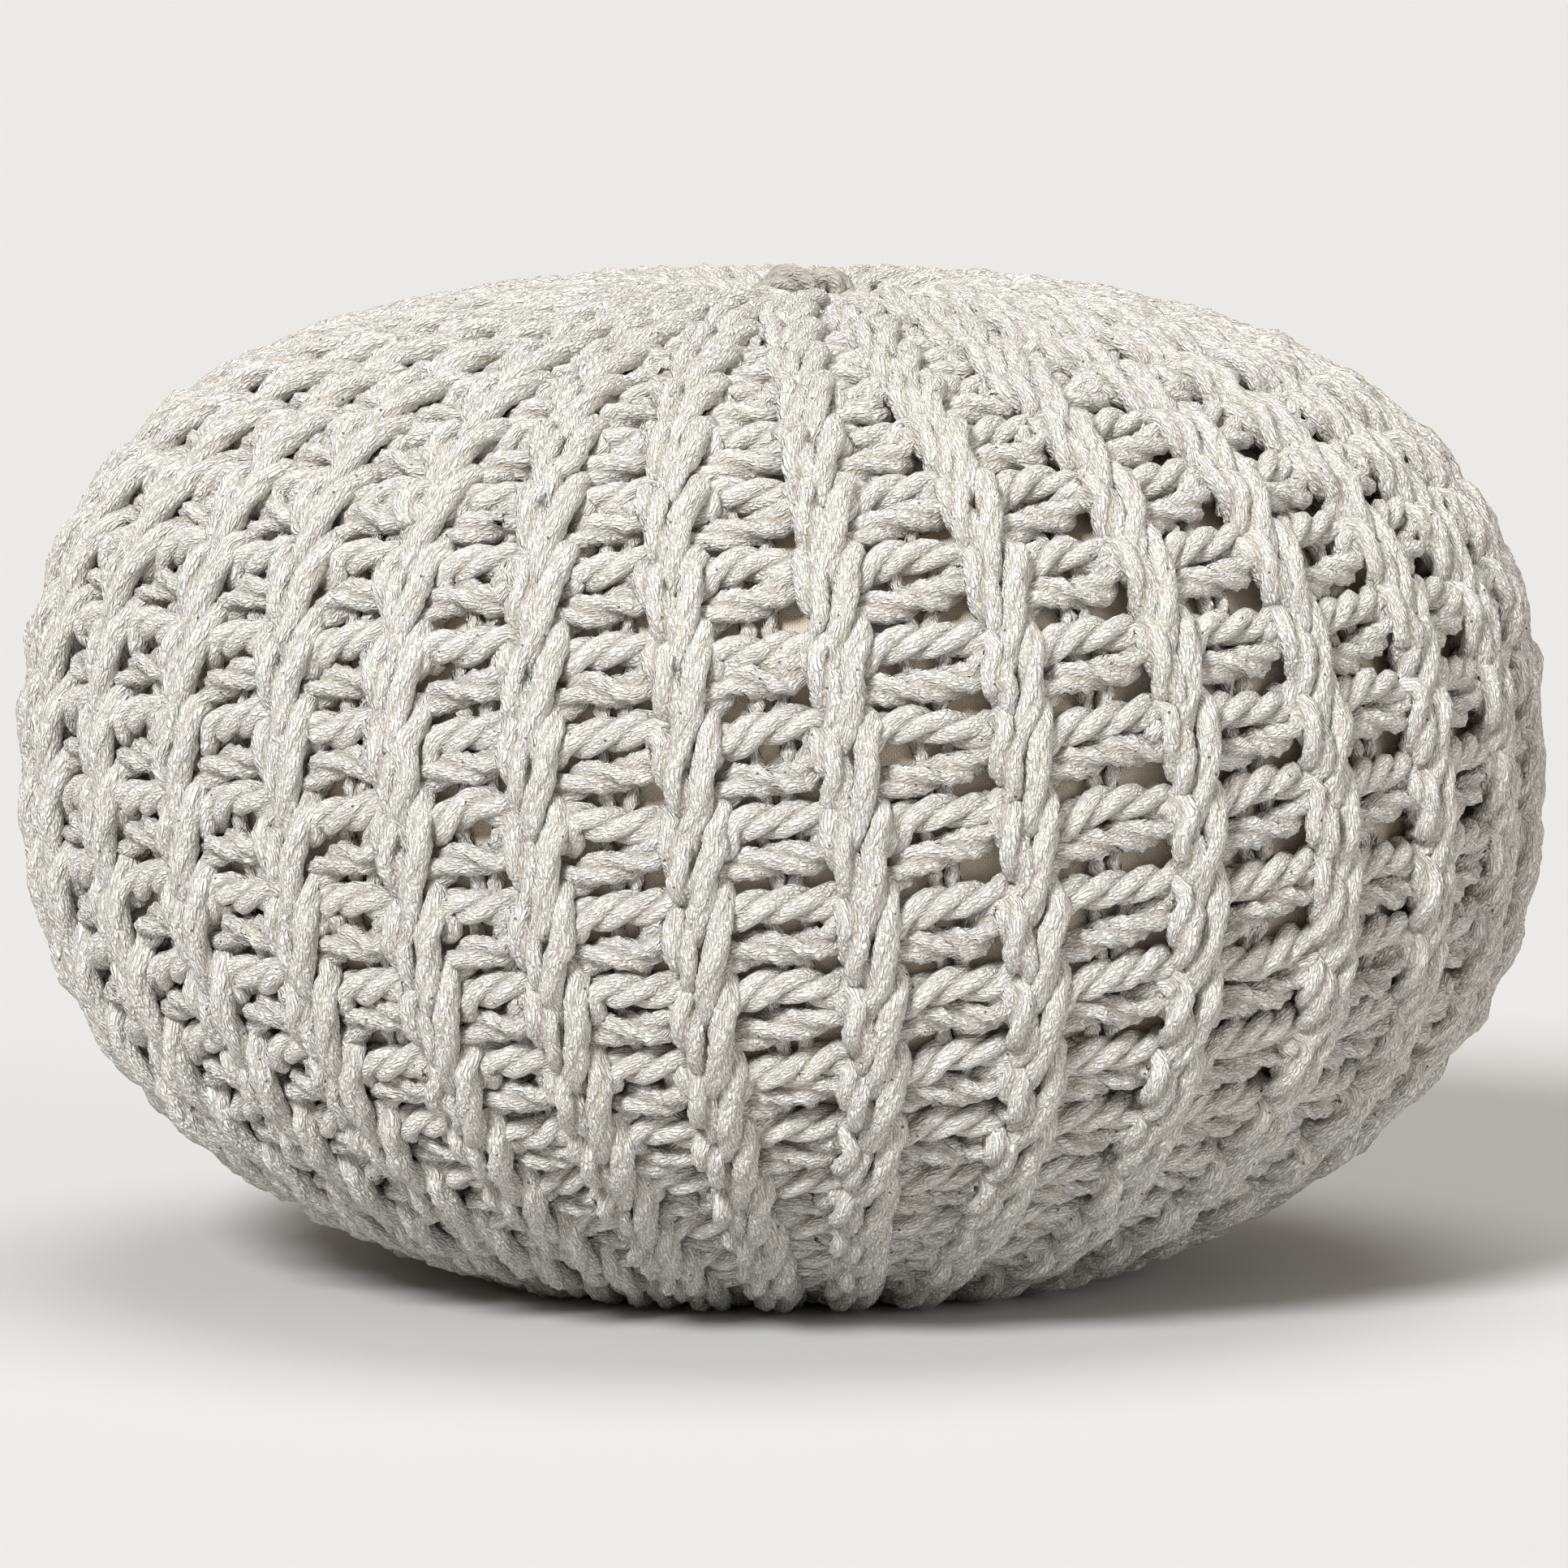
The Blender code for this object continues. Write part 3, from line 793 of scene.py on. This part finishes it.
# The gathered stitches
# Next to the crown's hole and on the foot the bays have closed. There the ribs stand side by side,
# and each V keeps its left leg without the bar.
GATHERED_LEG = ((0, -6.6, 27.0, 6.4), *((0, *place) for place in LEFT_LEG))
rows, ribs = STITCHES[~is_open].T
left_runs, left_thickness = stitch_runs(GATHERED_LEG, rows, ribs, LEG_DIAMETER, samples=17, seed=55,
                                        wobble=(0.7, 1.0, 0.40))
left_thickness = tapered(left_thickness, start=0.7, end=0.7)
left_mesh = laid_cord("gathered_stitches", left_runs, left_thickness, rib_cotton, LEG_DIAMETER,
                      LEG_LAY, depth=0.16, points=10, seed=57)
finished_piece("gathered_stitches", left_mesh)


# The tucked bars
# The other bar of every two starts low beside the rib, rises and then runs level behind the next
# rib. It is laid up tighter, so its plies show as a row of blobs.
TUCKED_LAY = -0.036
tucked_cotton = cotton_material("tucked_cotton", TUCKED_LAY, LEAN, ply_line=0.7)
TUCKED_BAR = (
    (0, 1.0, -9.4, 4.2),
    (0, 7.4, -7.6, 5.8),
    (0.20, 2.0, -3.6, 6.9),
    (0.46, 0.0, -1.8, 7.0),
    (0.76, -1.0, -1.2, 6.6),
    (1, -8.0, -1.4, 5.4),
    (1, -0.5, -2.0, 4.4),
)
for half, name in enumerate(("tucked_bars_lower", "tucked_bars_upper")):
    rows, ribs = open_places[in_upper_half == bool(half)].T
    bar_runs, bar_thickness = stitch_runs(TUCKED_BAR, rows, ribs, BAR_DIAMETER, samples=19,
                                          seed=61 + half, wobble=(0.7, 1.2, 0.40))
    bar_thickness = tapered(bar_thickness, start=0.85, end=0.85)
    bar_mesh = laid_cord(name, bar_runs, bar_thickness, tucked_cotton, BAR_DIAMETER, TUCKED_LAY,
                         depth=0.40, points=12, seed=71 + half)
    finished_piece(name, bar_mesh)


# The back stitches
# Between the ribs the back of the knitting shows through the bars: short legs of cord that lie
# against the casing and meet in a V in the middle of each bay.
BACK_DIAMETER = 0.0064
BACK_LAY = 0.045
back_cotton = cotton_material("back_cotton", BACK_LAY, LEAN, ply_line=0.5)
BACK_LEG = (
    (0.5, 7.0, 27.0, 2.6),
    (0.5, 6.0, 19.0, 3.0),
    (0.5, 3.8, 8.0, 3.2),
    (0.5, 2.0, -3.0, 2.8),
)
rows, ribs = open_places.T
back_parts = []
for side, hand in enumerate((-1, 1)):
    leg = np.array(BACK_LEG) * (1, hand, 1, 1)
    back_parts.append(stitch_runs(leg, rows, ribs, BACK_DIAMETER, samples=5, seed=81 + side,
                                  wobble=(0.8, 1.0, 0.2)))
back_runs = np.concatenate([runs for runs, _ in back_parts])
back_thickness = np.concatenate([thickness for _, thickness in back_parts])
back_mesh = laid_cord("back_stitches", back_runs, back_thickness, back_cotton, BACK_DIAMETER,
                      BACK_LAY, depth=0.12, points=6, seed=91)
finished_piece("back_stitches", back_mesh)


# The crown ring
# The last round of stitches is gathered on a cord, which lies once round the hole of the crown over
# the ends of the ribs. Both its ends go down inside.
RING_RADIUS = 0.0196
RING_HEIGHT = 0.3165
RING_WAVE = 0.0016
RING_ENDS = (-0.10, 1.12)
RING_TUCK = 0.12
RING_DIP = 0.012
RING_DRAWN_IN = 0.3
RING_SAMPLES = 64
HOLE_MIDDLE = (CROWN_SHIFT + MIDDLE[0], MIDDLE[1], 0.0)
ring_turn = np.linspace(*RING_ENDS, RING_SAMPLES)
ring_angle = math.tau * ring_turn
first_tuck = smooth_step((RING_ENDS[0] + RING_TUCK - ring_turn) / RING_TUCK)
last_tuck = smooth_step((ring_turn - RING_ENDS[1] + RING_TUCK) / RING_TUCK)
ring_dip = RING_DIP * (first_tuck + last_tuck)
ring_radius = RING_RADIUS + RING_WAVE * np.sin(3 * ring_angle) - RING_DRAWN_IN * ring_dip
ring_height = RING_HEIGHT + RING_WAVE * np.sin(2 * ring_angle) - ring_dip
ring_x = ring_radius * np.cos(ring_angle)
ring_y = ring_radius * np.sin(ring_angle)
ring_run = (np.stack([ring_x, ring_y, ring_height], axis=-1) + np.array(HOLE_MIDDLE))[None]
ring_mesh = laid_cord("crown_ring", ring_run, np.ones(ring_run.shape[:2]), rib_cotton,
                      LEG_DIAMETER, LEG_LAY, depth=0.34, points=12, seed=93)
finished_piece("crown_ring", ring_mesh)


# The closing cord
# The end of the cord, drawn through the last stitches of the crown and knotted: short lumps of
# cord that fill the hole, greyer than the rest with painted shade. Each strand comes up from inside,
# bends over and goes down again, here in millimetres from the floor under the hole's middle.
KNOT_LAY = 0.036
KNOT_DIAMETER = 0.0112
knot_cotton = cotton_material("knot_cotton", KNOT_LAY, LEAN, ply_line=0.7, hole_shade=0.6)
KNOT_STRANDS = (
    ((-12, 0, 306), (-12, -1.5, 316), (-8, -3.8, 321.8),
     (-2, -4.6, 323), (3.2, -3.6, 319), (4.6, -2, 309)),
    ((2.6, 2, 306), (4.2, 0.4, 317), (7.6, -1.8, 322.8),
     (11.2, -2, 321.2), (12.8, -1.4, 315), (12, 0, 304)),
    ((-9, 6, 304), (-7.5, 6.6, 314), (-2, 7.4, 320),
     (4, 7.4, 319.6), (9.4, 6.6, 313), (10, 5, 304)),
)
knot_runs = smooth_runs(np.array(KNOT_STRANDS) * MM + np.array(HOLE_MIDDLE), samples=40)
knot_mesh = laid_cord("closing_knot", knot_runs, np.ones(knot_runs.shape[:2]), knot_cotton,
                      KNOT_DIAMETER, KNOT_LAY, depth=0.42, points=15, seed=95)
closing_knot = finished_piece("closing_knot", knot_mesh)
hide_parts("closing_cord")


# The studio
# A wide pale floor, soft light from above and the front left, as in the photograph, and a camera at
# the photograph's angle.
FLOOR_HALF = 30.0
FLOOR_PALE = (0.62, 0.62, 0.62, 1.0)
FLOOR_ROUGHNESS = 0.9
KEY_COLOUR = (0.97, 0.985, 1.0)
ROOM_COLOUR = (1.0, 0.84, 0.66, 1.0)
ROOM_STRENGTH = 0.25
CAMERA_DISTANCE = 4.0
CAMERA_ELEVATION = math.radians(6.0)
CAMERA_AIM = (0.0006, 0.0, 0.1589)
FRAME_WIDTH = 0.5102


def studio_floor():
    mesh = bpy.data.meshes.new("studio_floor")
    corners = [(x * FLOOR_HALF, y * FLOOR_HALF, 0.0) for x, y in ((-1, -1), (1, -1), (1, 1), (-1, 1))]
    mesh.from_pydata(corners, [], [(0, 1, 2, 3)])
    floor = bpy.data.objects.new("studio_floor", mesh)
    bpy.context.scene.collection.objects.link(floor)
    paper = bpy.data.materials.new("pale_paper")
    paper.use_nodes = True
    shader = paper.node_tree.nodes["Principled BSDF"]
    shader.inputs["Base Color"].default_value = FLOOR_PALE
    shader.inputs["Roughness"].default_value = FLOOR_ROUGHNESS
    mesh.materials.append(paper)


def facing(direction):
    return Vector(direction).to_track_quat("-Z", "Y").to_euler()


def soft_light(name, source, strength, width, colour=(1.0, 1.0, 1.0)):
    """Even light from far off towards the pouf. Its width, as an angle, makes the shadows soft."""
    data = bpy.data.lights.new(name, "SUN")
    data.color = colour
    data.energy = strength
    data.angle = math.radians(width)
    light = bpy.data.objects.new(name, data)
    bpy.context.scene.collection.objects.link(light)
    light.location = source
    light.rotation_euler = facing(-Vector(source))


studio_floor()
soft_light("key_light", source=(-1.1, -2.16, 1.70), strength=3.60, width=16.0, colour=KEY_COLOUR)
soft_light("top_light", source=(0.2, 0.3, 2.65), strength=1.35, width=40.0)
soft_light("fill_light", source=(2.4, -1.8, 0.95), strength=0.66, width=30.0)
world = bpy.data.worlds.new("studio")
world.use_nodes = True
world.node_tree.nodes["Background"].inputs["Color"].default_value = ROOM_COLOUR
world.node_tree.nodes["Background"].inputs["Strength"].default_value = ROOM_STRENGTH
bpy.context.scene.world = world

camera_data = bpy.data.cameras.new("photo_camera")
camera_data.lens = camera_data.sensor_width * CAMERA_DISTANCE / FRAME_WIDTH
camera = bpy.data.objects.new("photo_camera", camera_data)
bpy.context.scene.collection.objects.link(camera)
back = np.array([0.0, -math.cos(CAMERA_ELEVATION), math.sin(CAMERA_ELEVATION)])
camera.location = np.array(CAMERA_AIM) + back * CAMERA_DISTANCE
camera.rotation_euler = facing(-back)
camera_data.clip_end = 20.0
bpy.context.scene.camera = camera
bpy.context.scene.view_settings.view_transform = "Standard"
